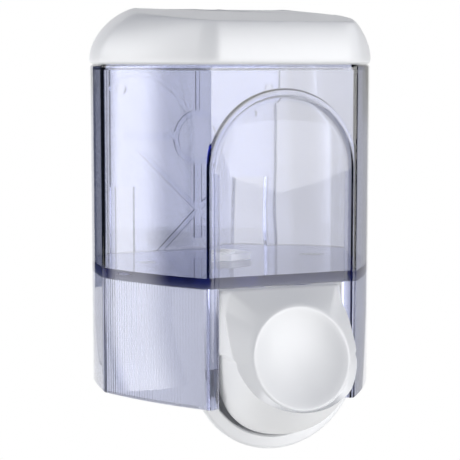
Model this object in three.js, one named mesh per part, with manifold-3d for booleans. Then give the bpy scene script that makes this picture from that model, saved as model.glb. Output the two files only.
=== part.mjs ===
// Wall mounted soap dispenser: clear tank on a wall plate, white lid, front push button and piston pump.
// Millimetres. X to the right, -Y out of the wall, +Z up. The origin is the middle of the wall plate's back.
import * as THREE from "three";
import { mergeVertices } from "three/addons/utils/BufferGeometryUtils.js";
import Module from "manifold-3d";

const GAP = 0.3;
const Z_MOUNT = 106; // height of the wall plate's middle above the skirt's lower edge
const FRONT_Y = -117;
const FRONT_HALF = 36.5; // half width of the flat front face
const BACK_Y = -5; // back of the clear body, just in front of the wall plate
const BODY_TOP = 157;
const WALL = 2.6;
const FLOOR_LOW = 55.6;
const FLOOR_HIGH = 60.5;
const SIDE_RADIUS = 195; // each side bows out from the front corner to the side edge
const SIDE_EDGE = [70.2, -61.5];
const SIDE_BACK = [[67.5, -38], [64, -24], [60, -16.5], [52, BACK_Y]];

const ARCH = { outer: 34.9, inner: 31.3, outerZ: 108.5, innerZ: 107.4, depth: 2.2 };
const CUT_HALF = 31.6; // half width of the button's opening in the skirt

const LID_LOW = BODY_TOP + GAP;
const LID_RIM = 160;
const LID_TOP_BACK = 184.5;
const LID_SLOPE = 0.0936;
const LID_RIDGE_Y = -24;

const AXIS_Z = 22; // pump axis
const PORT_Y = -54; // inlet and outlet
const PIN = { y: -108, z: 50, r: 1.5 };
const CHIN = { z: 19.3, r: 42.2, hole: 35.5 };
const DISH = { y: -137, z: 25.5, r: 23, tilt: 16, depth: 4.2 };

const MATERIALS = {
  clear: { color: 0xb9c0e4, roughness: 0.05, transparent: true, opacity: 0.4 },
  white: { color: 0xe9eaec, roughness: 0.3 },
  steel: { color: 0xb8bbbf, roughness: 0.3, metalness: 1 },
  rubber: { color: 0x2b2b2d, roughness: 0.8 },
};

const wasm = await Module();
wasm.setup();

// ---------- solids ----------

function solid(geometry) {
  const bare = geometry.clone();
  bare.deleteAttribute("normal");
  bare.deleteAttribute("uv");
  const merged = mergeVertices(bare, 1e-4);
  return new wasm.Manifold(
    new wasm.Mesh({
      numProp: 3,
      vertProperties: new Float32Array(merged.attributes.position.array),
      triVerts: new Uint32Array(merged.index.array),
    }),
  );
}

// The largest piece of a solid: cuts along shared faces can leave slivers of no volume.
function geometryOf(manifold) {
  const whole = manifold.decompose().reduce((a, b) => (b.volume() > a.volume() ? b : a));
  const mesh = whole.asOriginal().simplify(0.001).getMesh();
  const geometry = new THREE.BufferGeometry();
  const positions = new THREE.BufferAttribute(mesh.vertProperties, 3);
  geometry.setAttribute("position", positions);
  geometry.setIndex(new THREE.BufferAttribute(mesh.triVerts, 1));
  const flat = geometry.toNonIndexed();
  flat.computeVertexNormals();
  return flat;
}

const union = (first, ...others) => others.reduce((sum, next) => sum.add(next), first);
const cut = (first, ...others) => others.reduce((rest, next) => rest.subtract(next), first);

function box(x0, x1, y0, y1, z0, z1) {
  const geometry = new THREE.BoxGeometry(x1 - x0, y1 - y0, z1 - z0);
  geometry.translate((x0 + x1) / 2, (y0 + y1) / 2, (z0 + z1) / 2);
  return solid(geometry);
}

// An upright prism over a plan outline.
function prism(points, z0, z1) {
  const shape = new THREE.Shape(points.map(([x, y]) => new THREE.Vector2(x, y)));
  const geometry = new THREE.ExtrudeGeometry(shape, { depth: z1 - z0, bevelEnabled: false });
  geometry.translate(0, 0, z0);
  return solid(geometry);
}

// Rings of equal length, joined side to side and closed at both ends by a fan from the middle.
function loft(rings) {
  const n = rings[0].length;
  const middle = (ring) => [0, 1, 2].map((k) => ring.reduce((s, p) => s + p[k], 0) / n);
  const positions = [...rings.flat(), middle(rings[0]), middle(rings.at(-1))].flat();
  const index = [];
  const low = rings.length * n;
  const top = (rings.length - 1) * n;
  for (let i = 0; i < n; i++) {
    const j = (i + 1) % n;
    for (let k = 0; k + 1 < rings.length; k++) {
      index.push(k * n + i, k * n + j, (k + 1) * n + j);
      index.push(k * n + i, (k + 1) * n + j, (k + 1) * n + i);
    }
    index.push(low, j, i);
    index.push(low + 1, top + i, top + j);
  }
  const geometry = new THREE.BufferGeometry();
  geometry.setAttribute("position", new THREE.Float32BufferAttribute(positions, 3));
  geometry.setIndex(index);
  return solid(geometry);
}

// A turned piece about the Z axis: [radius, z] from the lower end on the axis to the upper end.
function turned(profile, segments = 28) {
  const points = profile.map(([r, z]) => new THREE.Vector2(r, z));
  return new THREE.LatheGeometry(points, segments).rotateX(Math.PI / 2);
}

const rod = (r, z0, z1, segments) =>
  turned([[0, z0], [r, z0], [r, z1], [0, z1]], segments);

function tube(inner, outer, z0, z1, segments) {
  return cut(
    solid(rod(outer, z0, z1, segments)),
    solid(rod(inner, z0 - 1, z1 + 1, segments)),
  );
}

// Lays a piece turned about Z along Y (its z becomes y) at height z and offset x.
const alongY = (geometry, x, z) => geometry.rotateX(-Math.PI / 2).translate(x, 0, z);
const alongX = (geometry, y, z) => geometry.rotateY(Math.PI / 2).translate(0, y, z);

// ---------- outlines ----------

function halfPlan(steps) {
  const [dx, dy] = [SIDE_EDGE[0] - FRONT_HALF, SIDE_EDGE[1] - FRONT_Y];
  const sweep = Math.asin(Math.hypot(dx, dy) / 2 / SIDE_RADIUS);
  const start = Math.atan2(dy, dx) - sweep;
  const centre = [FRONT_HALF - SIDE_RADIUS * Math.sin(start), FRONT_Y + SIDE_RADIUS * Math.cos(start)];
  const arc = Array.from({ length: steps + 1 }, (_, i) => {
    const a = start + (2 * sweep * i) / steps;
    return [centre[0] + SIDE_RADIUS * Math.sin(a), centre[1] - SIDE_RADIUS * Math.cos(a)];
  });
  return [...arc, ...SIDE_BACK];
}

const RIGHT = halfPlan(8);
const PLAN = [...RIGHT, ...RIGHT.map(([x, y]) => [-x, y]).reverse()];

// Inward normals scaled so that moving each corner by d moves both its sides by d.
const MITRES = PLAN.map((p, i) => {
  const before = PLAN.at(i - 1);
  const after = PLAN[(i + 1) % PLAN.length];
  const normal = (a, b) => {
    const length = Math.hypot(b[0] - a[0], b[1] - a[1]);
    return [-(b[1] - a[1]) / length, (b[0] - a[0]) / length];
  };
  const m = normal(before, p);
  const n = normal(p, after);
  const scale = 1 + m[0] * n[0] + m[1] * n[1];
  return [(m[0] + n[0]) / scale, (m[1] + n[1]) / scale];
});

const inset = (d) => PLAN.map(([x, y], i) => [x + d * MITRES[i][0], y + d * MITRES[i][1]]);

function archOutline(half, middle, low, steps = 20) {
  const points = [[-half, low]];
  for (let i = 0; i <= steps; i++) {
    const a = Math.PI * (1 - i / steps);
    points.push([half * Math.cos(a), middle + half * Math.sin(a)]);
  }
  return [...points, [half, low]].reverse();
}

// A block with an arch for its front, growing from outline a at y0 to outline b at y1.
function archBlock(a, b, y0, y1) {
  const at = (outline, y) => outline.map(([x, z]) => [x, y, z]);
  return loft([at(a, y0), at(b, y1)].map((ring) => ring.reverse()));
}

// ---------- tank body ----------

function tankBody() {
  const outerArch = archOutline(ARCH.outer, ARCH.outerZ, -2);
  const innerArch = archOutline(ARCH.inner, ARCH.innerZ, -2);
  const backY = FRONT_Y + ARCH.depth;
  const behind = archBlock(outerArch, outerArch, FRONT_Y - 1, backY + WALL);
  const recess = archBlock(outerArch, innerArch, FRONT_Y - 0.001, backY);
  const tank = cut(prism(inset(WALL), FLOOR_HIGH, BODY_TOP + 1), behind);
  const skirt = cut(prism(inset(WALL), -1, FLOOR_LOW), behind);
  const opening = box(-CUT_HALF, CUT_HALF, FRONT_Y - 1, backY + WALL + 1, -1, FLOOR_LOW);
  const port = solid(rod(7.5, FLOOR_LOW - 1, FLOOR_HIGH + 1)).translate([0, PORT_Y, 0]);
  let body = cut(prism(PLAN, 0, BODY_TOP), tank, skirt, recess, opening, port);
  for (const side of [-1, 1]) {
    const boss = cut(solid(rod(4.5, 8, FLOOR_LOW + 1)), solid(rod(1.4, 0, 24)));
    body = body.add(boss.translate([side * 42, -45, 0]));
    const slot = box(side * 30 - 5.5, side * 30 + 5.5, BACK_Y - WALL - 1, 0, 28, 44);
    body = body.subtract(slot);
  }
  return body;
}

// ---------- lid ----------

// How far the lid's flat top stands inside the body's outline at depth y.
function topInset(y) {
  const s = THREE.MathUtils.clamp((y - FRONT_Y) / 56, 0, 1);
  const t = THREE.MathUtils.clamp((y + 61) / 37, 0, 1);
  return 4 + 16 * s ** 1.3 + 4.5 * t;
}

const topHeight = (y) => LID_TOP_BACK + LID_SLOPE * Math.min(y - LID_RIDGE_Y, 0);
const DOME = [0, 0.25, 0.45, 0.63, 0.79, 0.91, 1];

// Rings up the dome of the lid, drawn in by `wall` from its outside.
function domeRings(wall) {
  return DOME.map((t) =>
    PLAN.map(([x, y], i) => {
      const [mx, my] = y > -62 ? [-Math.sign(x), 0] : MITRES[i];
      const wide = topInset(y) * (1 - (1 - t ** 1.8) ** 0.67);
      const yTop = y + my * topInset(y);
      const base = [x + wall * MITRES[i][0], y + wall * MITRES[i][1]];
      const top = topHeight(yTop) - wall;
      return [base[0] + mx * wide, base[1] + my * wide, LID_RIM + t * (top - LID_RIM)];
    }),
  );
}

function lid() {
  const ring = (d, z) => inset(d).map(([x, y]) => [x, y, z]);
  const outer = loft([ring(0.9, LID_LOW), ring(-0.1, LID_LOW + 1.2), ...domeRings(-0.4)]);
  const inner = loft([ring(3.6, LID_LOW - 1), ...domeRings(3.6)]);
  const lip = cut(prism(inset(3.0), 154.4, LID_RIM + 1), prism(inset(4.6), 153, LID_RIM + 2));
  const groove = box(-6.5, 6.5, LID_RIDGE_Y - 2, 0, LID_TOP_BACK - 0.8, LID_TOP_BACK + 5);
  const keyhole = box(-3.5, 3.5, -15, -11, 175, LID_TOP_BACK + 5);
  const boltSlot = box(-5.4, 5.4, -12, 0, 163.6, 167.9);
  let body = cut(union(cut(outer, inner), lip), groove, keyhole, boltSlot);
  for (const side of [-1, 1]) {
    const boss = cut(solid(rod(3.4, 171.3, 182.5, 20)), solid(rod(1.5, 170, 179, 16)));
    body = body.add(boss.translate([side * 12.5, -24, 0]));
  }
  return body;
}

function boltKeeper() {
  const channel = cut(
    box(-9, 9, -36, -11, 160.5, 171),
    box(-5.4, 5.4, -33, -10, 163.6, 167.9),
    box(-3.5, 3.5, -20, -10, 166, 172),
  );
  const ears = box(-16, 16, -28, -20, 168.5, 171);
  const inside = box(-5.4, 5.4, -33, -10, 163.6, 167.9);
  const holes = [-1, 1].map((s) => solid(rod(1.8, 168, 172, 16)).translate([s * 12.5, -24, 0]));
  return cut(union(channel, ears), inside, box(-3.5, 3.5, -20, -10, 166, 172), ...holes);
}

function lockBolt() {
  const bar = box(-5.1, 5.1, -27.5, -6.6, 163.9, 167.6);
  const keySlot = box(-2, 2, -15.5, -11.5, 165.8, 168);
  return cut(bar, keySlot);
}

// A screw with its head at the lower end.
function screw(shank, head, z0, z1, length) {
  return turned([[0, z0], [head, z0], [head, z1], [shank, z1], [shank, length], [0, length]], 16);
}

// ---------- wall plate ----------

function wallPlate() {
  const rib = 1.5;
  const yFace = -3;
  const ribBox = (x0, x1, z0, z1) => box(x0, x1, yFace - rib, yFace + 0.5, z0, z1);
  let plate = box(-47, 47, yFace, 0, 22, 152);
  const ring = solid(alongY(rod(13.2, yFace - rib, yFace + 0.5, 32), 0, 118));
  const ringHole = solid(alongY(rod(10.6, yFace - rib - 1, yFace, 32), 0, 118));
  const bars = union(
    ribBox(-1, 1, 130, 151),
    ribBox(-2, 2, 66, 106),
    ribBox(-40, -11, 117.8, 121.2),
    ribBox(11, 40, 117.8, 121.2),
  );
  plate = union(plate, ring, bars);
  for (const angle of [45, -45]) {
    const arm = new THREE.BoxGeometry(96, rib + 0.5, 2.6);
    arm.rotateY(THREE.MathUtils.degToRad(angle));
    arm.translate(0, yFace - rib / 2 + 0.25, 81);
    const clipped = solid(arm).intersect(box(-33, 33, -10, 0, 40, 112));
    plate = plate.add(clipped);
  }
  plate = plate.subtract(ringHole);
  for (const side of [-1, 1]) {
    plate = plate.subtract(box(side * 39.5 - 5, side * 39.5 + 5, -10, 1, 58, 94));
    const neck = box(side * 30 - 4, side * 30 + 4, -8.3, yFace + 0.5, 29, 33);
    const hook = box(side * 30 - 4, side * 30 + 4, -10.8, -8.1, 29, 41);
    plate = union(plate, neck, hook);
    for (const z of [50, 142]) {
      const hole = solid(alongY(rod(2.6, -6, 2, 16), side * 41, z));
      plate = plate.subtract(hole);
    }
  }
  return plate;
}

function lockCatch() {
  return cut(box(-12, 12, -3, 0, 152.3, 172), box(-6.2, 6.2, -4, 1, 162.5, 169));
}

// ---------- pump housing with the chin ----------

function coneAlong(stops, segments = 44) {
  return loft(
    stops.map(([y, r]) =>
      Array.from({ length: segments }, (_, i) => {
        const a = (2 * Math.PI * i) / segments;
        return [r * Math.sin(a), y, CHIN.z + r * Math.cos(a)];
      }),
    ),
  );
}

function pumpHousing() {
  const inside = prism(inset(3), -40, 55.2);
  const shell = inside.intersect(box(-80, 80, -111.4, 0, 1.5, 55.2));
  const frontRings = [[-109, 41.6], [-108.4, CHIN.r], [-106.5, CHIN.r], [-66, 17.9]];
  const chin = coneAlong(frontRings).intersect(inside).intersect(box(-38.4, 38.4, -120, 0, -40, 18));
  const room = prism(inset(5.4), 3.9, 60).intersect(box(-80, 80, -109, 0, 3.9, 60));
  const bowl = coneAlong([[-112, CHIN.hole], [-101, CHIN.hole], [-69.3, 15.2]]);
  const front = box(-31.6, 31.6, -115, -100, 10, 60);
  const lower = bowl.intersect(box(-60, 60, -115, 0, -40, 18.6));
  let housing = cut(union(shell, chin), room, lower, front);
  const nozzleHole = solid(rod(8.6, 0, 6)).translate([0, PORT_Y, 0]);
  housing = housing.subtract(nozzleHole);
  for (const side of [-1, 1]) {
    const hole = solid(rod(1.9, 0, 6, 16)).translate([side * 42, -45, 0]);
    const bossRoom = solid(rod(4.9, 3.9, 60, 20)).translate([side * 42, -45, 0]);
    const lug = box(side > 0 ? 32 : -37.2, side > 0 ? 37.2 : -32, -111.4, -104, 45, 55.2);
    const hookRoom = box(side * 30 - 7, side * 30 + 7, -13, 0, 26, 60);
    housing = cut(union(housing, lug.intersect(inside)), hole, bossRoom, hookRoom);
  }
  const pinHole = solid(alongX(rod(1.8, -36.4, 36.4, 16), PIN.y, PIN.z));
  return housing.subtract(pinHole);
}

// ---------- push button ----------

const RIDGE = { y: -130.5, z: 25, slope: 0.63 };

// Distance from the dish's axis to the button's outline in direction a, seen from the front.
function outlineReach(a) {
  const [c, s] = [Math.cos(a), Math.sin(a)];
  const toSide = Math.abs(c) > 1e-6 ? 31 / Math.abs(c) : 1e6;
  const toTop = s > 1e-6 ? (54.6 - DISH.z) / s : 1e6;
  const dz = DISH.z - 20;
  const toRound = -dz * s + Math.sqrt((dz * s) ** 2 - dz * dz + 35 * 35);
  const below = s < 0 ? (toSide ** -8 + toRound ** -8) ** (-1 / 8) : toSide;
  return Math.min(below, toTop);
}

// Distance from the dish's axis to the ridge between the sloping front and the flanks.
function ridgeReach(a) {
  const down = THREE.MathUtils.radToDeg(Math.asin(-Math.sin(a)));
  if (down > 35) return 23.2 + 4.5 * ((90 - down) / 55) ** 2;
  return Math.min(outlineReach(a), 30.6 - 0.08 * down + 0.0022 * Math.max(-down, 0) ** 2);
}

const ridgeY = (z) => Math.min(RIDGE.y + RIDGE.slope * (z - RIDGE.z), -113.6);

function buttonRings(steps) {
  const tilt = THREE.MathUtils.degToRad(DISH.tilt);
  const dish = (r, depth) => (a) => [
    r * Math.cos(a),
    DISH.y + r * Math.sin(a) * Math.sin(tilt) + depth * Math.cos(tilt),
    DISH.z + r * Math.sin(a) * Math.cos(tilt) + depth * Math.sin(tilt),
  ];
  const ridge = (a) => {
    const r = ridgeReach(a);
    const z = DISH.z + r * Math.sin(a);
    return [r * Math.cos(a), ridgeY(z), z];
  };
  const outline = (y, d) => (a) => {
    const r = outlineReach(a) - d;
    return [r * Math.cos(a), y, DISH.z + r * Math.sin(a)];
  };
  const flank = (share) => (a) => {
    const [p, q] = [ridge(a), outline(-112, 0)(a)];
    const low = Math.max(0, -Math.sin(a)) ** 2;
    const bulge = 4 * low * Math.sin(Math.PI * share);
    return [0, 1, 2].map(
      (k) => p[k] + (q[k] - p[k]) * share + bulge * [0.5 * Math.cos(a), -0.5, -0.7][k],
    );
  };
  const stops = [dish(9, DISH.depth * 0.85), dish(17, DISH.depth * 0.45), dish(DISH.r, 0)];
  stops.push(ridge, flank(0.35), flank(0.7), outline(-112, 0), outline(-104, 1.6));
  return stops.map((stop) =>
    Array.from({ length: steps }, (_, i) => stop((2 * Math.PI * i) / steps - Math.PI / 2)),
  );
}

function pushButton() {
  const rings = buttonRings(48);
  const outer = loft(rings.toReversed());
  const shrink = ([x, y, z], k) => {
    const s = k < 3 ? 0.98 : 0.915;
    return [x * s, y + 2.8, DISH.z + (z - DISH.z) * s];
  };
  const hollow = rings.map((ring, k) => ring.map((p) => shrink(p, k)));
  const inner = loft(hollow.toReversed());
  const pusher = solid(alongY(rod(5, -132, -98.6, 20), 0, AXIS_Z));
  const pinHole = solid(alongX(rod(1.8, -40, 40, 16), PIN.y, PIN.z));
  return cut(union(cut(outer, inner), pusher), pinHole);
}

// ---------- pump ----------

const onPort = (geometry) => solid(geometry).translate([0, PORT_Y, 0]);

function pumpCylinder() {
  const barrel = solid(alongY(rod(11, -88, -43.5, 32), 0, AXIS_Z));
  const bore = solid(alongY(rod(8.6, -90, -46, 32), 0, AXIS_Z));
  const outside = union(
    barrel,
    onPort(rod(7.2, AXIS_Z + 5, 64.5)),
    onPort(rod(12, 50.5, 53.2)),
    onPort(rod(6, 2.5, AXIS_Z - 5)),
  );
  const cross = [0, 90].map((angle) => {
    const bar = new THREE.BoxGeometry(7, 1.4, 16).rotateZ(THREE.MathUtils.degToRad(angle));
    return onPort(bar.translate(0, 0, 39));
  });
  return cut(
    outside,
    bore,
    onPort(rod(4, 46, 58)),
    onPort(rod(5.4, 57, 66)),
    onPort(rod(2.2, AXIS_Z, 47, 16)),
    ...cross,
    onPort(rod(3.6, 0, AXIS_Z, 20)),
  );
}

function plunger() {
  const profile = [[0, -98.3], [10, -98.3], [10, -97], [8.3, -97], [8.3, -72], [6.6, -72]];
  profile.push([6.6, -68.8], [8.3, -68.8], [8.3, -66], [0, -66]);
  return alongY(turned(profile, 32), 0, AXIS_Z);
}

function coil(radius, wire, length, turns) {
  const points = Array.from({ length: turns * 12 + 1 }, (_, i) => {
    const a = (i / 12) * 2 * Math.PI;
    return new THREE.Vector3(radius * Math.cos(a), radius * Math.sin(a), (i / 12 / turns) * length);
  });
  const shape = new THREE.Shape().absarc(0, 0, wire, 0, 2 * Math.PI);
  const path = new THREE.CatmullRomCurve3(points);
  return new THREE.ExtrudeGeometry(shape, { steps: turns * 14, curveSegments: 4, extrudePath: path });
}

function strainer() {
  const holes = [0, 72, 144, 216, 288].map((angle) => {
    const a = THREE.MathUtils.degToRad(angle);
    return solid(rod(1, 56, 60, 10)).translate([3 * Math.cos(a), 3 * Math.sin(a), 0]);
  });
  return cut(solid(rod(5.1, 57.3, 58.8, 24)), ...holes).translate([0, PORT_Y, 0]);
}

// ---------- assembly ----------

const group = new THREE.Group();

function add(name, geometry, look) {
  const shown = geometry.isBufferGeometry ? geometry : geometryOf(geometry);
  const mesh = new THREE.Mesh(
    shown.translate(0, 0, -Z_MOUNT),
    new THREE.MeshStandardMaterial(MATERIALS[look]),
  );
  mesh.name = name;
  group.add(mesh);
}

add("tank_body", tankBody(), "clear");
add("lid", lid(), "white");
add("bolt_keeper", boltKeeper(), "white");
add("lock_bolt", lockBolt(), "white");
for (const [side, name] of [[-1, "left"], [1, "right"]]) {
  const keeperScrew = screw(1.2, 2.6, 166.5, 168.2, 177);
  add(`keeper_screw_${name}`, keeperScrew.translate(side * 12.5, -24, 0), "steel");
  const housingScrew = screw(1.1, 3.2, -0.5, 1.2, 20);
  add(`housing_screw_${name}`, housingScrew.translate(side * 42, -45, 0), "steel");
}
add("wall_plate", wallPlate(), "clear");
add("lock_catch", lockCatch(), "clear");
add("pump_housing", pumpHousing(), "white");
add("push_button", pushButton(), "white");
add("hinge_pin", alongX(rod(PIN.r, -36.1, 36.1, 16), PIN.y, PIN.z), "steel");
add("pump_cylinder", pumpCylinder(), "white");
const capRing = union(tube(11.3, 13, -91, -82, 32), tube(8.7, 12, -91, -88.3, 32));
add("cylinder_cap", alongY(geometryOf(capRing), 0, AXIS_Z), "white");
add("pump_plunger", plunger(), "white");
const sealRing = geometryOf(tube(6.9, 8.45, -71.6, -69.2, 32));
add("plunger_seal", alongY(sealRing, 0, AXIS_Z), "rubber");
const spring = coil(6.2, 0.6, 17.6, 6).translate(0, 0, -64.6);
add("pump_spring", alongY(spring, 0, AXIS_Z), "steel");
const ball = new THREE.SphereGeometry(3, 16, 10).translate(0, PORT_Y, 48.3);
add("inlet_ball", ball, "steel");
add("inlet_seat", tube(2.2, 3.7, 53.4, 56.6, 24).translate([0, PORT_Y, 0]), "rubber");
add("inlet_strainer", strainer(), "clear");
add("floor_gasket", tube(7.6, 12, 53.5, 55.3, 28).translate([0, PORT_Y, 0]), "rubber");
const nut = cut(solid(rod(12.5, 60.8, 63.8, 6)), solid(rod(7.5, 60, 67)));
add("retaining_nut", nut.translate([0, PORT_Y, 0]), "clear");
const valve = turned([[0, -1.6], [1, -1.6], [2.8, 1.2], [5.2, 1.2], [5.2, 2.2], [0, 2.2]], 24);
const slitValve = cut(solid(valve), box(-0.2, 0.2, -1.8, 1.8, -3, 1.4));
add("outlet_valve", slitValve.translate([0, PORT_Y, 0]), "rubber");
const tip = cut(solid(rod(7.8, -4, 9)), solid(rod(6.3, 0.9, 10)), solid(rod(3.2, -5, 2)));
add("nozzle_tip", tip.translate([0, PORT_Y, 0]), "white");

export default group;
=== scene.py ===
"""Wall mounted soap dispenser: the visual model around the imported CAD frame.

Shapes are given in millimetres in the dispenser's own design frame, whose z = 0 is the lower edge
of the clear body. The frame's origin lies 106 mm above it, in the middle of the wall plate's back.
"""
import math

import bpy
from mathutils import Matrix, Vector


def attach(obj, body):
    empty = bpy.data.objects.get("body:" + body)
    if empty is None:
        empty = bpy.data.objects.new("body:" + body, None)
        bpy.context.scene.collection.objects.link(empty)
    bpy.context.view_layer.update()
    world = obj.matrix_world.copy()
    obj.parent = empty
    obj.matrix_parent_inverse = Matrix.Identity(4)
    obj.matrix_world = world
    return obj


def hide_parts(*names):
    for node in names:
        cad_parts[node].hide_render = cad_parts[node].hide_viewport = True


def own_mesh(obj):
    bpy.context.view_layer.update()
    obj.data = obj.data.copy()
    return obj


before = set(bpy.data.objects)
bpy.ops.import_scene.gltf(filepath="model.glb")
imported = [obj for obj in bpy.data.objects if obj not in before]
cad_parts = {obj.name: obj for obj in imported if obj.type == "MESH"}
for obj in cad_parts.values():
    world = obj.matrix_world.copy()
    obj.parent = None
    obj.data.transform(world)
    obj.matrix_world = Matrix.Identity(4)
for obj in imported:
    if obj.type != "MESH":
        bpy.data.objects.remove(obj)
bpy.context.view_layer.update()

ORIGIN_Z = 106.0
MM = 0.001

# ---------- camera ----------

camera_data = bpy.data.cameras.new("camera")
camera_data.sensor_width = 36.0
camera_data.lens = 117.39
camera = bpy.data.objects.new("camera", camera_data)
bpy.context.scene.collection.objects.link(camera)
camera.location = (-0.278784, -0.741155, 0.051923)
camera.rotation_euler = Vector((0.37164, 0.92170, -0.11112)).to_track_quat("-Z", "Y").to_euler()
bpy.context.scene.camera = camera


# ---------- mesh helpers ----------

def mesh_object(name, points, faces, sharp=35.0):
    """A new object from points in the design frame, smooth except at edges over `sharp` degrees."""
    mesh = bpy.data.meshes.new(name)
    mesh.from_pydata([(x * MM, y * MM, (z - ORIGIN_Z) * MM) for x, y, z in points], [], faces)
    mesh.update()
    obj = bpy.data.objects.new(name, mesh)
    bpy.context.scene.collection.objects.link(obj)
    shade(obj, sharp)
    return obj


def shade(obj, sharp=35.0):
    """Smooth shading with sharp edges where faces meet at over `sharp` degrees."""
    mesh = obj.data
    mesh.polygons.foreach_set("use_smooth", [True] * len(mesh.polygons))
    mesh.set_sharp_from_angle(angle=math.radians(sharp))
    mesh.update()


def loft(name, rings, sharp=35.0):
    """Rings of equal length joined side to side, closed by one flat face at each end."""
    n = len(rings[0])
    points = [p for ring in rings for p in ring]
    faces = []
    for k in range(len(rings) - 1):
        for i in range(n):
            j = (i + 1) % n
            faces.append((k * n + i, k * n + j, (k + 1) * n + j, (k + 1) * n + i))
    faces.append(tuple(range(n))[::-1])
    top = (len(rings) - 1) * n
    faces.append(tuple(range(top, top + n)))
    return mesh_object(name, points, faces, sharp)


def prism(name, plan, z0, z1):
    return loft(name, [[(x, y, z0) for x, y in plan], [(x, y, z1) for x, y in plan]])


def box(name, x0, x1, y0, y1, z0, z1):
    return prism(name, [(x0, y0), (x1, y0), (x1, y1), (x0, y1)], z0, z1)


def rod(name, x, y, r, z0, z1, steps=48):
    ring = [(x + r * math.cos(2 * math.pi * i / steps), y + r * math.sin(2 * math.pi * i / steps))
            for i in range(steps)]
    return prism(name, ring, z0, z1)


def apply_modifiers(obj):
    """Puts the mesh that the modifiers make in place of the object's own."""
    depsgraph = bpy.context.evaluated_depsgraph_get()
    mesh = bpy.data.meshes.new_from_object(obj.evaluated_get(depsgraph))
    old = obj.data
    obj.modifiers.clear()
    obj.data = mesh
    mesh.name = obj.name
    bpy.data.meshes.remove(old)


def combine(obj, others, operation="DIFFERENCE", sharp=35.0):
    """obj with each of the others cut from it, joined to it or kept in common with it."""
    for other in others:
        modifier = obj.modifiers.new("combine", "BOOLEAN")
        modifier.operation = operation
        modifier.solver = "MANIFOLD"
        modifier.object = other
        apply_modifiers(obj)
        mesh = other.data
        bpy.data.objects.remove(other)
        bpy.data.meshes.remove(mesh)
    shade(obj, sharp)
    return obj


# ---------- outlines ----------

FRONT_Y = -117.0
FRONT_HALF = 36.5
SIDE_RADIUS = 195.0
SIDE_EDGE = (70.2, -61.5)
SIDE_STEPS = 16
BACK = [SIDE_EDGE, (67.5, -38.0), (64.0, -24.0), (60.0, -16.5), (52.0, -5.0)]
WALL = 2.6
BODY_TOP = 157.0
FLOOR_LOW, FLOOR_HIGH = 55.6, 60.5


def smooth_through(points, steps, start):
    """A curve through the points, leaving the first one in the direction `start`."""
    out = []
    for k in range(len(points) - 1):
        p, q = Vector(points[k]), Vector(points[k + 1])
        span = (q - p).length
        into = Vector(start) if k == 0 else (q - Vector(points[k - 1])).normalized()
        away = (Vector(points[k + 2]) - p).normalized() if k + 2 < len(points) else (q - p).normalized()
        for i in range(1, steps + 1):
            t = i / steps
            h00, h10 = 2 * t ** 3 - 3 * t ** 2 + 1, t ** 3 - 2 * t ** 2 + t
            h01, h11 = 3 * t ** 2 - 2 * t ** 3, t ** 3 - t ** 2
            v = h00 * p + h10 * span * into + h01 * q + h11 * span * away
            out.append((v.x, v.y))
    return out


def sharp_plan():
    """The body's outline with sharp front corners, counter-clockwise, from the right front corner."""
    dx, dy = SIDE_EDGE[0] - FRONT_HALF, SIDE_EDGE[1] - FRONT_Y
    sweep = math.asin(math.hypot(dx, dy) / 2 / SIDE_RADIUS)
    start = math.atan2(dy, dx) - sweep
    centre = (FRONT_HALF - SIDE_RADIUS * math.sin(start), FRONT_Y + SIDE_RADIUS * math.cos(start))
    half = []
    for i in range(SIDE_STEPS + 1):
        a = start + 2 * sweep * i / SIDE_STEPS
        half.append((centre[0] + SIDE_RADIUS * math.sin(a), centre[1] - SIDE_RADIUS * math.cos(a)))
    half += smooth_through(BACK, 5, (-0.114, 0.993))
    return half + [(-x, y) for x, y in reversed(half)]


PLAN = sharp_plan()


def mitres(points):
    """The way each corner of a closed outline moves when its sides are drawn in by 1."""
    out = []
    for i, p in enumerate(points):
        a, b = Vector(points[i - 1]), Vector(points[(i + 1) % len(points)])
        m = (Vector(p) - a).normalized()
        n = (b - Vector(p)).normalized()
        m, n = Vector((-m.y, m.x)), Vector((-n.y, n.x))
        out.append((m + n) / (1 + m.dot(n)))
    return out


MITRES = mitres(PLAN)


def outline(distance=0.0, corner=1.2, steps=8, side=6.0):
    """The plan drawn in by `distance`, its front corners rounded by `corner`, its side edges by `side`."""
    moved = [(x + distance * m.x, y + distance * m.y) for (x, y), m in zip(PLAN, MITRES)]
    ahead = (Vector(moved[1]) - Vector(moved[0])).normalized()
    reach = corner * math.tan(math.acos(ahead.x) / 2)
    out = []
    n = len(moved)
    for i, p in enumerate(moved):
        if i in (0, n - 1):
            radius = corner
        elif i in (SIDE_STEPS, n - 1 - SIDE_STEPS):
            radius = max(side - distance, 1.0)
        else:
            if min(math.dist(p, moved[0]), math.dist(p, moved[-1])) > reach:
                out.append(p)
            continue
        here, a, b = Vector(p), Vector(moved[i - 1]), Vector(moved[(i + 1) % n])
        into, away = (here - a).normalized(), (b - here).normalized()
        turn = math.acos(max(-1, min(1, into.dot(away))))
        start = here - into * radius * math.tan(turn / 2)
        centre = start + Vector((-into.y, into.x)) * radius
        first = math.atan2(start.y - centre.y, start.x - centre.x)
        for k in range(steps + 1):
            a = first + turn * k / steps
            out.append((centre.x + radius * math.cos(a), centre.y + radius * math.sin(a)))
    return out


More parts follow.
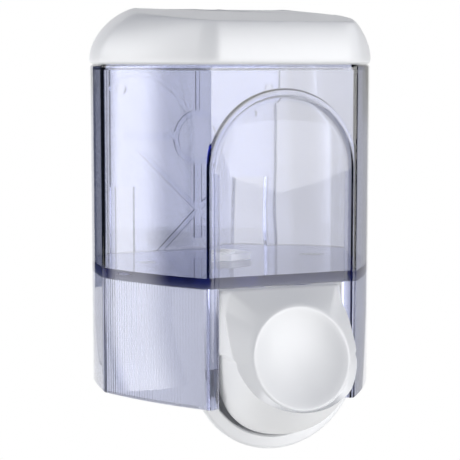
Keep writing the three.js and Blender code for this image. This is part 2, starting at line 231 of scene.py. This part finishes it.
def fluted(distance, depth, pitch):
    """The plan drawn in by `distance`, with fine upright flutes of `depth` cut outwards."""
    base = outline(distance, 0.4, 4)
    dense = []
    run = 0.0
    for i, p in enumerate(base):
        a, b = Vector(p), Vector(base[(i + 1) % len(base)])
        length = (b - a).length
        along = (b - a) / length
        out = Vector((along.y, -along.x))
        flat_back = a.y > -6 or b.y > -6
        flat_front = abs(a.y - (FRONT_Y + distance)) < 0.5 and abs(b.y - (FRONT_Y + distance)) < 0.5
        count = max(1, int(length / (pitch / 6)))
        for k in range(count):
            s = length * k / count
            wave = 0.5 - 0.5 * math.cos(2 * math.pi * (run + s) / pitch)
            if flat_back or flat_front:
                wave = 0.0
                if k:
                    continue
            q = a + along * s + out * depth * wave
            dense.append((q.x, q.y))
        run += length
    return dense


# ---------- clear body ----------

ARCH_OUTER, ARCH_INNER = 34.9, 31.3
ARCH_OUTER_Z, ARCH_INNER_Z, ARCH_DEPTH = 108.5, 107.4, 2.2
ARCH_STEPS = 64
CUT_HALF = 31.6
PORT_Y = -54.0
RIM = 1.5
BEAD, BEAD_LOW, BEAD_FULL = 1.5, 154.2, 155.2
FLUTE_DEPTH, FLUTE_PITCH = 0.18, 1.6
BOSS_X, BOSS_Y, HOOK_X = 42, -45, 30
# How strongly the skirt and the floor's underside are marked: this scales their roughening and puts the
# painted shade on both in full.
SKIRT_FROST_AND_SHADE, FLOOR_FROST_AND_SHADE = 1.0, 2.5


def arch(half, middle, low):
    """An arch seen from the front, counter-clockwise seen from behind."""
    points = [(-half, low)]
    for i in range(ARCH_STEPS + 1):
        a = math.pi * (1 - i / ARCH_STEPS)
        points.append((half * math.cos(a), middle + half * math.sin(a)))
    return points + [(half, low)]


def arch_block(name, sections):
    """sections: [(half width, centre height, y)], from the front to the back."""
    rings = [[(x, y, z) for x, z in arch(half, middle, -2.0)] for half, middle, y in sections]
    return loft(name, rings)


def inside_outline(x, y, edge):
    """True if the closed outline `edge` runs round the point."""
    crossings = 0
    for (x0, y0), (x1, y1) in zip(edge, edge[1:] + edge[:1]):
        if (y0 > y) != (y1 > y) and x < x0 + (y - y0) * (x1 - x0) / (y1 - y0):
            crossings += 1
    return crossings % 2 == 1


def mark_frost_and_shade(body):
    """Marks the inner face of the skirt and the floor's underside for their frosting and for the painted
    shade that the clear plastic puts on them.
    """
    edge = outline(1.5)
    frost_and_shade = body.data.attributes.new("frost_and_shade", "FLOAT", "FACE")
    for face in body.data.polygons:
        x, y, z = (c / MM for c in face.center)
        if z + ORIGIN_Z < FLOOR_LOW - 0.1 and abs(face.normal.z) < 0.5 and inside_outline(x, y, edge):
            frost_and_shade.data[face.index].value = SKIRT_FROST_AND_SHADE
        elif abs(z + ORIGIN_Z - FLOOR_LOW) < 0.05 and face.normal.z < -0.9:
            frost_and_shade.data[face.index].value = FLOOR_FROST_AND_SHADE


def build_tank():
    rings = [[(x, y, z) for x, y in outline(d)] for d, z in (
        (0.9, 0.0), (0.35, 0.25), (0.0, 0.9), (0.0, 40.0), (0.0, 80.0), (0.0, 120.0),
        (0.0, BODY_TOP - RIM))]
    for k in range(1, 7):
        a = math.radians(15 * k)
        ring = outline(RIM * (1 - math.cos(a)))
        rings.append([(x, y, BODY_TOP - RIM + RIM * math.sin(a)) for x, y in ring])
    body = loft("tank_shell", rings)
    back_y = FRONT_Y + ARCH_DEPTH

    def behind(name):
        """The thicker wall behind the recess, which leans in towards its middle."""
        return arch_block(name, [(ARCH_OUTER + out, ARCH_OUTER_Z, back_y + WALL + back) for out, back in (
            (2.8, -6), (2.8, -2.0), (2.4, -1.5), (1.6, -0.85), (0.6, -0.35), (-0.6, 0))])

    room = [[(x, y, z) for x, y in outline(WALL + bead, 0.8, 5)] for bead, z in (
        (0, FLOOR_HIGH), (0, BEAD_LOW), (BEAD, BEAD_FULL), (BEAD, BODY_TOP + 1))]
    tank = combine(loft("tank_room", room), [behind("behind_a")])
    skirt = combine(prism("skirt_room", fluted(WALL, FLUTE_DEPTH, FLUTE_PITCH), -1, FLOOR_LOW),
                    [behind("behind_b")])
    cove = []
    for s, depth in ((0, 0), (0.02, 0.25), (0.06, 0.5), (0.12, 0.7), (0.2, 0.85), (0.3, 0.95), (0.45, 1.03),
                     (0.65, 1.06), (0.85, 1.05), (1, 1)):
        cove.append((ARCH_OUTER + (ARCH_INNER - ARCH_OUTER) * s,
                     ARCH_OUTER_Z + (ARCH_INNER_Z - ARCH_OUTER_Z) * s, FRONT_Y + ARCH_DEPTH * depth))
    cove.insert(0, (ARCH_OUTER, ARCH_OUTER_Z, FRONT_Y - 0.5))
    recess = arch_block("recess", cove)
    opening = box("opening", -CUT_HALF, CUT_HALF, FRONT_Y - 1, back_y + WALL + 1, -1, FLOOR_LOW)
    port = rod("port", 0, PORT_Y, 7.5, FLOOR_LOW - 1, FLOOR_HIGH + 1)
    combine(body, [tank, skirt, recess, opening, port])
    for side in (-1, 1):
        boss = combine(rod("boss", side * BOSS_X, BOSS_Y, 4.5, 8, FLOOR_LOW + 1),
                       [rod("boss_hole", side * BOSS_X, BOSS_Y, 1.4, 7, 24, 24)])
        combine(body, [boss], "UNION")
        slot = box("slot", side * HOOK_X - 5.5, side * HOOK_X + 5.5, -5 - WALL - 1, 0, 28, 44)
        combine(body, [slot])
    mark_frost_and_shade(body)
    return body


# ---------- lid ----------

LID_LOW, LID_RIM = 157.3, 160.0
LID_TOP_BACK, LID_SLOPE, LID_RIDGE_Y = 184.5, 0.0936, -24.0
LID_CORNER, LID_SIDE = 14.0, 14
LID_WALL, LID_PROUD, LID_STEPS = 3.2, 0.4, 22
LEVEL = 0.994


def top_inset(y):
    """How far the top's edge lies inside the rim, at the depth y."""
    s = min(max((y - FRONT_Y) / 56, 0), 1)
    t = min(max((y + 61) / 37, 0), 1)
    return 4 + 16 * s ** 1.3 + 4.5 * t


def top_height(y):
    return LID_TOP_BACK + LID_SLOPE * min(y - LID_RIDGE_Y, 0)


def lid_outline(distance):
    return outline(distance, LID_CORNER, 12, side=LID_SIDE)


def lid_rings(wall):
    """The lid's domed sides from the rim to the top's edge, drawn in by `wall`."""
    base = lid_outline(0.0)
    turn = mitres(base)
    rings = []
    for k in range(LID_STEPS + 1):
        t = 1 - (1 - k / LID_STEPS) ** 1.6
        ring = []
        for (x, y), m in zip(base, turn):
            blend = min(max((y + 72) / 16, 0), 1)
            blend = blend * blend * (3 - 2 * blend)
            inward = Vector((m.x, m.y)) * (1 - blend) + Vector((-math.copysign(1, x), 0)) * blend
            wide = top_inset(y) * (1 - (1 - t ** 1.8) ** 0.67)
            y_top = y + inward.y * top_inset(y)
            top = top_height(y_top) - wall
            ring.append((x + wall * m.x + inward.x * wide, y + wall * m.y + inward.y * wide,
                         LID_RIM + t * (top - LID_RIM)))
        rings.append(ring)
    return rings


def build_lid():
    def ring(distance, z):
        return [(x, y, z) for x, y in lid_outline(distance)]

    outer = loft("lid_cover", [ring(1.3, LID_LOW), ring(0.5, LID_LOW + 0.15), ring(0.0, LID_LOW + 0.55),
                               ring(-0.3, LID_LOW + 1.2), *lid_rings(-LID_PROUD)], 30)
    inner = loft("lid_room", [ring(LID_WALL, LID_LOW - 1), *lid_rings(LID_WALL)], 30)
    combine(outer, [inner])
    lip = combine(prism("lip", outline(4.4, 1.0), 156.2, LID_RIM + 1),
                  [prism("lip_room", outline(6.0, 1.0), 153, LID_RIM + 2)])
    combine(outer, [lip], "UNION")
    combine(outer, [
        box("groove", -6.5, 6.5, LID_RIDGE_Y - 2, 0, LID_TOP_BACK - 0.8, LID_TOP_BACK + 5),
        box("keyhole", -3.5, 3.5, -15, -11, 175, LID_TOP_BACK + 5),
        box("bolt_slot", -5.4, 5.4, -12, 0, 163.6, 167.9),
    ], sharp=30)
    for side in (-1, 1):
        boss = combine(rod("boss", side * 12.5, -24, 3.4, 171.3, 182.5, 24),
                       [rod("boss_hole", side * 12.5, -24, 1.5, 170, 179, 20)])
        combine(outer, [boss], "UNION", sharp=30)
    for face in outer.data.polygons:
        if face.normal.z > LEVEL:
            face.use_smooth = False
    return outer


# ---------- pump housing with the chin ----------

CHIN_Z, CHIN_R, CHIN_HOLE = 19.3, 42.2, 35.5
CHIN_FRONT, CHIN_ROUND = -109, 1.6
HOUSING_GAP, HOUSING_WALL = 3.05, 2.35
HOUSING_FRONT, HOUSING_LOW, HOUSING_FLOOR, HOUSING_TOP = -111.4, 1.5, 3.9, 55.2
PIN_Y, PIN_Z, PIN_HOLE, PIN_HALF, PIN_STEPS = -108, 50, 1.8, 36.4, 24
ROUND_STEPS = 160
WIDE = 80


def cone(name, stops):
    """A body of revolution about the chin's axis: [(y, radius)] from the front to the back."""
    turns = [2 * math.pi * i / ROUND_STEPS for i in range(ROUND_STEPS)]
    rings = [[(r * math.sin(a), y, CHIN_Z + r * math.cos(a)) for a in turns] for y, r in stops]
    return loft(name, rings)


def build_housing():
    def within_skirt(name):
        return prism(name, outline(HOUSING_GAP, 0.6, 4), -40, HOUSING_TOP)

    shell = combine(within_skirt("housing_shell"),
                    [box("shell_range", -WIDE, WIDE, HOUSING_FRONT, 0, HOUSING_LOW, HOUSING_TOP)],
                    "INTERSECT")
    rounded = []
    for degrees in (0, 18, 36, 54, 72, 90):
        a = math.radians(degrees)
        rounded.append((CHIN_FRONT + CHIN_ROUND * (1 - math.cos(a)),
                        CHIN_R - CHIN_ROUND + CHIN_ROUND * math.sin(a)))
    chin = cone("chin", [*rounded, (-106.5, CHIN_R), (-106.2, CHIN_R - 0.15), (-66, 17.9)])
    combine(chin, [within_skirt("chin_limit")], "INTERSECT")
    combine(chin, [box("chin_range", -38.4, 38.4, -120, 0, -40, 18)], "INTERSECT")
    room = combine(prism("room", outline(HOUSING_GAP + HOUSING_WALL, 0.6, 4), HOUSING_FLOOR, 60),
                   [box("room_range", -WIDE, WIDE, -109, 0, HOUSING_FLOOR, 60)], "INTERSECT")
    bowl = cone("bowl", [(-112, CHIN_HOLE + 0.9), (-108.9, CHIN_HOLE + 0.9), (-108.3, CHIN_HOLE + 0.25),
                         (-107.7, CHIN_HOLE), (-101, CHIN_HOLE), (-69.3, 15.2)])
    combine(bowl, [box("bowl_range", -60, 60, -115, 0, -40, 18.6)], "INTERSECT")
    combine(shell, [chin], "UNION")
    combine(shell, [room, bowl, box("front", -CUT_HALF, CUT_HALF, -115, -100, 10, 60),
                    rod("nozzle_hole", 0, PORT_Y, 8.6, 0, 6)])
    for side in (-1, 1):
        near, far = sorted((side * 32, side * 37.2))
        lug = box("lug", near, far, HOUSING_FRONT, -104, 45, HOUSING_TOP)
        combine(lug, [within_skirt("lug_limit")], "INTERSECT")
        combine(shell, [lug], "UNION")
        combine(shell, [rod("hole", side * BOSS_X, BOSS_Y, 1.9, 0, 6, 24),
                        rod("boss_room", side * BOSS_X, BOSS_Y, 4.9, HOUSING_FLOOR, 60, 32),
                        box("hook_room", side * HOOK_X - 7, side * HOOK_X + 7, -13, 0, 26, 60)])
    turns = [2 * math.pi * i / PIN_STEPS for i in range(PIN_STEPS)]
    bore = [(PIN_Y + PIN_HOLE * math.cos(a), PIN_Z + PIN_HOLE * math.sin(a)) for a in turns]
    pin = loft("pin_hole", [[(x, y, z) for y, z in bore] for x in (-PIN_HALF, PIN_HALF)])
    combine(shell, [pin])
    return shell


# ---------- push button ----------

DISH_Y, DISH_Z, DISH_R, DISH_TILT, DISH_DEPTH = -137.0, 25.5, 23.0, math.radians(16), 5.2
RIDGE_Y, RIDGE_Z, RIDGE_SLOPE, RIDGE_TOP_Y = -130.3, 25.0, 0.63, -117.0
BUTTON_HALF, BUTTON_TOP, BUTTON_ROUND, BUTTON_ROUND_Z = 31, 54.6, 35, 20
BUTTON_BACK, BUTTON_WALL = -112, 2.6


def outline_reach(a):
    """From the dish's middle to the button's outline, in the direction `a` seen from the front."""
    c, s = math.cos(a), math.sin(a)
    to_side = BUTTON_HALF / abs(c) if abs(c) > 1e-6 else 1e6
    to_top = (BUTTON_TOP - DISH_Z) / s if s > 1e-6 else 1e6
    dz = DISH_Z - BUTTON_ROUND_Z
    to_round = -dz * s + math.sqrt((dz * s) ** 2 - dz * dz + BUTTON_ROUND * BUTTON_ROUND)
    if s < 0:
        return min((to_side ** -8 + to_round ** -8) ** (-1 / 8), to_top)
    return (to_side ** -24 + to_top ** -24) ** (-1 / 24)


def ridge_reach(a):
    """From the dish's middle to the ridge around it: close to the dish below, wide above."""
    down = math.degrees(math.asin(-math.sin(a)))
    low = 23.4 + 4.5 * ((90 - down) / 55) ** 2
    high = 30.6 - 0.08 * down + 0.0022 * max(-down, 0) ** 2
    s = min(max((down - 25) / 20, 0), 1)
    s = s * s * (3 - 2 * s)
    return min(outline_reach(a), high * (1 - s) + low * s)


def build_button():
    """The button's outer form and the room inside it, as rings from the dish's middle to the back edge."""
    def dish(r, out=0.0, back=0.0):
        depth = DISH_DEPTH * (1 - (r / DISH_R) ** 2) + back
        r += out
        return lambda a: (r * math.cos(a),
                          DISH_Y + r * math.sin(a) * math.sin(DISH_TILT) + depth * math.cos(DISH_TILT),
                          DISH_Z + r * math.sin(a) * math.cos(DISH_TILT) + depth * math.sin(DISH_TILT))

    def ridge(a):
        r = ridge_reach(a)
        z = DISH_Z + r * math.sin(a)
        return (r * math.cos(a), min(RIDGE_Y + RIDGE_SLOPE * (z - RIDGE_Z), RIDGE_TOP_Y), z)

    def edge(y, d):
        def at(a):
            r = outline_reach(a) - d
            return (r * math.cos(a), y, DISH_Z + r * math.sin(a))
        return at

    def flank(share):
        def at(a):
            p, q = ridge(a), edge(BUTTON_BACK, 0)(a)
            bulge = 4 * max(0, -math.sin(a)) ** 2 * math.sin(math.pi * share)
            way = (0.5 * math.cos(a), -0.5, -0.7)
            return tuple(p[k] + (q[k] - p[k]) * share + bulge * way[k] for k in range(3))
        return at

    def ramp(share):
        def at(a):
            p, q = dish(DISH_R, 1.5, 0.85)(a), ridge(a)
            return tuple(p[k] + (q[k] - p[k]) * share for k in range(3))
        return at

    stops = [dish(r) for r in (3, 7, 11, 15, 18, 20.5, 22)]
    stops += [dish(22.6, 0, 0.12), dish(DISH_R, 0.1, 0.1), dish(DISH_R, 0.6, 0.22), dish(DISH_R, 1.1, 0.5)]
    stops += [ramp(s) for s in (0.0, 0.12, 0.35, 0.6, 0.82, 0.93)]
    stops += [ridge]
    stops += [flank(s) for s in (0.07, 0.2, 0.35, 0.5, 0.65, 0.8, 0.92)]
    stops += [edge(BUTTON_BACK, 0), edge(-108, 0.4), edge(-104, 1.6)]
    turns = [2 * math.pi * i / ROUND_STEPS - math.pi / 2 for i in range(ROUND_STEPS)]
    rings = [[stop(a) for a in turns] for stop in stops]
    outer = loft("button_shell", rings, 50)

    def shrink(p, k):
        s = 0.98 if k < 11 else 0.93
        return (p[0] * s, p[1] + BUTTON_WALL, DISH_Z + (p[2] - DISH_Z) * s)

    inner = loft("button_room", [[shrink(p, k) for p in ring] for k, ring in enumerate(rings)], 50)
    return outer, inner


tank = build_tank()
lid = build_lid()
housing = build_housing()
button, button_room = build_button()
combine(button, [button_room], sharp=50)


# ---------- materials ----------

CLEAR_TINT, TINT_DENSITY = (0.2125, 0.2875, 0.70), 80.0
MILKY_TINT, MILKY_DENSITY = (0.80, 0.83, 0.90), 60.0
# The first colour is painted shade: a bluish grey on the skirt's marked faces that darkens the housing seen
# through them, in place of the light that the skirt would filter on its way in.
FROST_SHADE, FROST_ROUGHNESS = (0.60, 0.62, 0.76), 0.14


def new_material(name):
    material = bpy.data.materials.new(name)
    material.use_nodes = True
    tree = material.node_tree
    tree.nodes.clear()
    output = tree.nodes.new("ShaderNodeOutputMaterial")
    shader = tree.nodes.new("ShaderNodeBsdfPrincipled")
    tree.links.new(shader.outputs["BSDF"], output.inputs["Surface"])
    return material, tree, shader, output


def noise(tree, scale, detail=3.0, stretch=(1, 1, 1)):
    """Noise fixed to the object, about 0.3 to 0.7."""
    place = tree.nodes.new("ShaderNodeTexCoord")
    mapping = tree.nodes.new("ShaderNodeMapping")
    mapping.inputs["Scale"].default_value = stretch
    texture = tree.nodes.new("ShaderNodeTexNoise")
    texture.inputs["Scale"].default_value = scale
    texture.inputs["Detail"].default_value = detail
    tree.links.new(place.outputs["Object"], mapping.inputs["Vector"])
    tree.links.new(mapping.outputs["Vector"], texture.inputs["Vector"])
    return texture.outputs["Fac"]


def spread(tree, source, low, high):
    """The noise `source` drawn out to go from `low` to `high`."""
    node = tree.nodes.new("ShaderNodeMapRange")
    node.inputs["From Min"].default_value = 0.3
    node.inputs["From Max"].default_value = 0.7
    node.inputs["To Min"].default_value = low
    node.inputs["To Max"].default_value = high
    tree.links.new(source, node.inputs["Value"])
    return node.outputs["Result"]


def colours(tree, source, first, second):
    node = tree.nodes.new("ShaderNodeMix")
    node.data_type = "RGBA"
    node.inputs["A"].default_value = (*first, 1)
    node.inputs["B"].default_value = (*second, 1)
    tree.links.new(source, node.inputs["Factor"])
    return node.outputs["Result"]


def bump(tree, source, strength, distance):
    node = tree.nodes.new("ShaderNodeBump")
    node.inputs["Strength"].default_value = strength
    node.inputs["Distance"].default_value = distance
    tree.links.new(source, node.inputs["Height"])
    return node.outputs["Normal"]


def clear_plastic(name, colour, density, frosted_and_shaded=False, rough=0.0):
    """Clear plastic tinted in its depth; its switch roughens the faces marked on the skirt and paints shade
    on them, a bluish grey that darkens what is seen through them.
    """
    material, tree, shader, output = new_material(name)
    shader.inputs["Base Color"].default_value = (1, 1, 1, 1)
    shader.inputs["Transmission Weight"].default_value = 1.0
    shader.inputs["IOR"].default_value = 1.5
    gloss = spread(tree, noise(tree, 60), rough, rough + 0.03)
    if frosted_and_shaded:
        frost_and_shade = tree.nodes.new("ShaderNodeAttribute")
        frost_and_shade.attribute_name = "frost_and_shade"
        add = tree.nodes.new("ShaderNodeMath")
        add.operation = "MULTIPLY_ADD"
        add.inputs[1].default_value = FROST_ROUGHNESS
        tree.links.new(frost_and_shade.outputs["Fac"], add.inputs[0])
        tree.links.new(gloss, add.inputs[2])
        gloss = add.outputs["Value"]
        # Painted shade: the marked faces get a bluish grey that darkens what is seen through them.
        tree.links.new(colours(tree, frost_and_shade.outputs["Fac"], (1, 1, 1), FROST_SHADE),
                       shader.inputs["Base Color"])
    tree.links.new(gloss, shader.inputs["Roughness"])
    tree.links.new(bump(tree, noise(tree, 35, 1), 0.03, 0.0006), shader.inputs["Normal"])
    tint = tree.nodes.new("ShaderNodeVolumeAbsorption")
    tint.inputs["Color"].default_value = (*colour, 1)
    tint.inputs["Density"].default_value = density
    tree.links.new(tint.outputs["Volume"], output.inputs["Volume"])
    return material


def white_plastic():
    material, tree, shader, _ = new_material("white_plastic")
    cloud = noise(tree, 25, 2)
    tree.links.new(colours(tree, cloud, (0.80, 0.805, 0.815), (0.83, 0.835, 0.845)),
                   shader.inputs["Base Color"])
    tree.links.new(spread(tree, noise(tree, 400, 3), 0.30, 0.38), shader.inputs["Roughness"])
    tree.links.new(bump(tree, noise(tree, 2600, 2), 0.06, 0.00004), shader.inputs["Normal"])
    shader.inputs["IOR"].default_value = 1.49
    return material


def inner_plastic():
    material, tree, shader, _ = new_material("inner_plastic")
    cloud = noise(tree, 60, 2)
    tree.links.new(colours(tree, cloud, (0.74, 0.74, 0.745), (0.78, 0.78, 0.785)),
                   shader.inputs["Base Color"])
    tree.links.new(spread(tree, noise(tree, 900, 3), 0.38, 0.5), shader.inputs["Roughness"])
    tree.links.new(bump(tree, noise(tree, 3000, 2), 0.1, 0.00005), shader.inputs["Normal"])
    return material


def steel():
    material, tree, shader, _ = new_material("steel")
    grain = noise(tree, 900, 4, (0.1, 1, 1))
    tree.links.new(colours(tree, grain, (0.50, 0.51, 0.53), (0.68, 0.69, 0.71)),
                   shader.inputs["Base Color"])
    shader.inputs["Metallic"].default_value = 1.0
    tree.links.new(spread(tree, grain, 0.22, 0.4), shader.inputs["Roughness"])
    tree.links.new(bump(tree, grain, 0.15, 0.00003), shader.inputs["Normal"])
    return material


def rubber():
    material, tree, shader, _ = new_material("rubber")
    grain = noise(tree, 1500, 4)
    tree.links.new(colours(tree, grain, (0.022, 0.022, 0.024), (0.05, 0.05, 0.052)),
                   shader.inputs["Base Color"])
    tree.links.new(spread(tree, grain, 0.6, 0.85), shader.inputs["Roughness"])
    tree.links.new(bump(tree, grain, 0.25, 0.00005), shader.inputs["Normal"])
    return material


CLEAR = clear_plastic("clear_plastic", CLEAR_TINT, TINT_DENSITY, frosted_and_shaded=True)
PLATE = clear_plastic("plate_plastic", CLEAR_TINT, TINT_DENSITY, rough=0.10)
MILKY = clear_plastic("milky_plastic", MILKY_TINT, MILKY_DENSITY, rough=0.42)
WHITE, INNER = white_plastic(), inner_plastic()
STEEL, RUBBER = steel(), rubber()

for obj, body, node, slot, material in (
    (tank, "frame", "tank_body", "clear", CLEAR),
    (lid, "lid", "lid", "white", WHITE),
    (housing, "frame", "pump_housing", "white", WHITE),
    (button, "button", "push_button", "white", WHITE),
):
    obj.data.materials.clear()
    obj.data.materials.append(material)
    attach(obj, body)
    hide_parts(node)


def let_light_through(obj):
    """Light on what lies behind clear plastic isn't stopped by it."""
    obj.visible_shadow = False
    obj.visible_diffuse = False


let_light_through(tank)

KEPT = {
    "steel": ("keeper_screw_left", "keeper_screw_right", "housing_screw_left", "housing_screw_right",
              "hinge_pin", "pump_spring", "inlet_ball"),
    "rubber": ("plunger_seal", "inlet_seat", "floor_gasket", "outlet_valve"),
    "inner": ("bolt_keeper", "lock_bolt", "pump_cylinder", "cylinder_cap", "pump_plunger", "nozzle_tip"),
    "clear": ("wall_plate", "lock_catch"),
    "milky": ("inlet_strainer", "retaining_nut"),
}
EDGE_ROUND, EDGE_ANGLE = 0.35, 40
LOOKS = {"steel": STEEL, "rubber": RUBBER, "inner": INNER, "clear": PLATE, "milky": MILKY}
for look, names in KEPT.items():
    for name in names:
        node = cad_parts[name]
        node.data.materials.clear()
        node.data.materials.append(LOOKS[look])
        shade(node, 30)
        if look in ("clear", "milky"):
            let_light_through(node)
            bevel = node.modifiers.new("edges", "BEVEL")
            bevel.width = EDGE_ROUND * MM
            bevel.segments = 3
            bevel.limit_method = "ANGLE"
            bevel.angle_limit = math.radians(EDGE_ANGLE)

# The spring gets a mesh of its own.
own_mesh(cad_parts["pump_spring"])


# ---------- studio ----------

def card(name, centre, width, height, facing, material, camera_sees=False):
    """A flat card that faces the point `facing`, in metres."""
    half_w, half_h = width / 2, height / 2
    mesh = bpy.data.meshes.new(name)
    corners = [(-half_w, -half_h, 0), (half_w, -half_h, 0), (half_w, half_h, 0), (-half_w, half_h, 0)]
    mesh.from_pydata(corners, [], [(0, 1, 2, 3)])
    mesh.materials.append(material)
    obj = bpy.data.objects.new(name, mesh)
    bpy.context.scene.collection.objects.link(obj)
    obj.location = centre
    obj.rotation_euler = (Vector(facing) - Vector(centre)).to_track_quat("Z", "Y").to_euler()
    obj.visible_camera = camera_sees
    return obj


def glow(name, strength, fade=None):
    """White light of this radiance, which fades out over the parts `fade` at the card's two ends."""
    material = bpy.data.materials.new(name)
    material.use_nodes = True
    tree = material.node_tree
    tree.nodes.clear()
    output = tree.nodes.new("ShaderNodeOutputMaterial")
    emission = tree.nodes.new("ShaderNodeEmission")
    emission.inputs["Color"].default_value = (1, 1, 1, 1)
    emission.inputs["Strength"].default_value = strength
    tree.links.new(emission.outputs["Emission"], output.inputs["Surface"])
    if fade:
        place = tree.nodes.new("ShaderNodeTexCoord")
        axes = tree.nodes.new("ShaderNodeSeparateXYZ")
        tree.links.new(place.outputs["Generated"], axes.inputs["Vector"])
        ends = []
        for low, high, top in ((0, fade[0], strength), (1, 1 - fade[1], 1)):
            ramp = tree.nodes.new("ShaderNodeMapRange")
            ramp.interpolation_type = "SMOOTHSTEP"
            ramp.inputs["From Min"].default_value = low
            ramp.inputs["From Max"].default_value = high
            ramp.inputs["To Max"].default_value = top
            tree.links.new(axes.outputs["X"], ramp.inputs["Value"])
            ends.append(ramp.outputs["Result"])
        both = tree.nodes.new("ShaderNodeMath")
        both.operation = "MULTIPLY"
        tree.links.new(ends[0], both.inputs[0])
        tree.links.new(ends[1], both.inputs[1])
        tree.links.new(both.outputs["Value"], emission.inputs["Strength"])
    return material


MIDDLE = Vector((0, -0.06, 0))


def toward(azimuth, elevation, distance):
    """The point this far from the middle; azimuth 0 is +X and 90 is +Y, into the wall."""
    a, e = math.radians(azimuth), math.radians(elevation)
    return MIDDLE + distance * Vector((math.cos(a) * math.cos(e), math.sin(a) * math.cos(e), math.sin(e)))


def softbox(name, azimuth, elevation, distance, width, height, radiance):
    """An area light that faces the middle."""
    data = bpy.data.lights.new(name, "AREA")
    data.shape = "RECTANGLE"
    data.size, data.size_y = width, height
    data.energy = radiance * math.pi * width * height
    obj = bpy.data.objects.new(name, data)
    bpy.context.scene.collection.objects.link(obj)
    obj.location = toward(azimuth, elevation, distance)
    obj.rotation_euler = (MIDDLE - obj.location).to_track_quat("-Z", "Y").to_euler()
    obj.visible_camera = False
    return obj


card("strip_left", toward(167, -17, 1.3), 0.64, 2.1, MIDDLE, glow("strip_white", 5.0, fade=(0.45, 0.25)))
softbox("left_front", 175, 28, 1.4, 1.2, 0.7, 1.1)
softbox("left_back", 150, 24, 1.4, 1.0, 0.7, 2.4)
softbox("front", -64, 8, 1.6, 1.4, 1.8, 2.6)
front_card = card("front_card", toward(-66, -6, 1.62), 1.4, 1.7, MIDDLE, glow("front_white", 3.9))
front_card.visible_diffuse = False
front_card.visible_transmission = False
softbox("right", -15, 25, 1.5, 1.0, 0.7, 1.45)

# The camera sees the white backdrop; what is seen through clear plastic is the greyer one behind it.
backdrop = card("backdrop", (0.66, 1.64, -0.1), 1.6, 2.4, (0, 0, 0), glow("backdrop_white", 1.0), True)
backdrop.visible_transmission = False
card("backdrop_grey", (0.87, 1.60, -0.1), 2.2, 2.4, (0, 0, 0), glow("backdrop_pale", 0.53))
# The camera sees the floor; the object is lit by the dimmer card 10 mm above it.
floor = card("floor", (0, 0, -0.75), 9.0, 9.0, (0, 0, 3), glow("floor_white", 1.0), True)
floor.visible_diffuse = False
floor.visible_transmission = False
card("floor_fill", (0, 0, -0.74), 9.0, 9.0, (0, 0, 3), glow("fill_white", 0.8))

# The world is white where the camera sees it and a dim blue grey for all other light.
world = bpy.data.worlds.new("world")
bpy.context.scene.world = world
world.use_nodes = True
tree = world.node_tree
tree.nodes.clear()
world_out = tree.nodes.new("ShaderNodeOutputWorld")
room = tree.nodes.new("ShaderNodeBackground")
room.inputs["Color"].default_value = (0.055, 0.065, 0.10, 1)
seen = tree.nodes.new("ShaderNodeBackground")
seen.inputs["Color"].default_value = (1, 1, 1, 1)
path = tree.nodes.new("ShaderNodeLightPath")
mix = tree.nodes.new("ShaderNodeMixShader")
tree.links.new(path.outputs["Is Camera Ray"], mix.inputs[0])
tree.links.new(room.outputs[0], mix.inputs[1])
tree.links.new(seen.outputs[0], mix.inputs[2])
tree.links.new(mix.outputs[0], world_out.inputs["Surface"])

bpy.context.scene.view_settings.view_transform = "Standard"
bpy.context.scene.view_settings.look = "None"
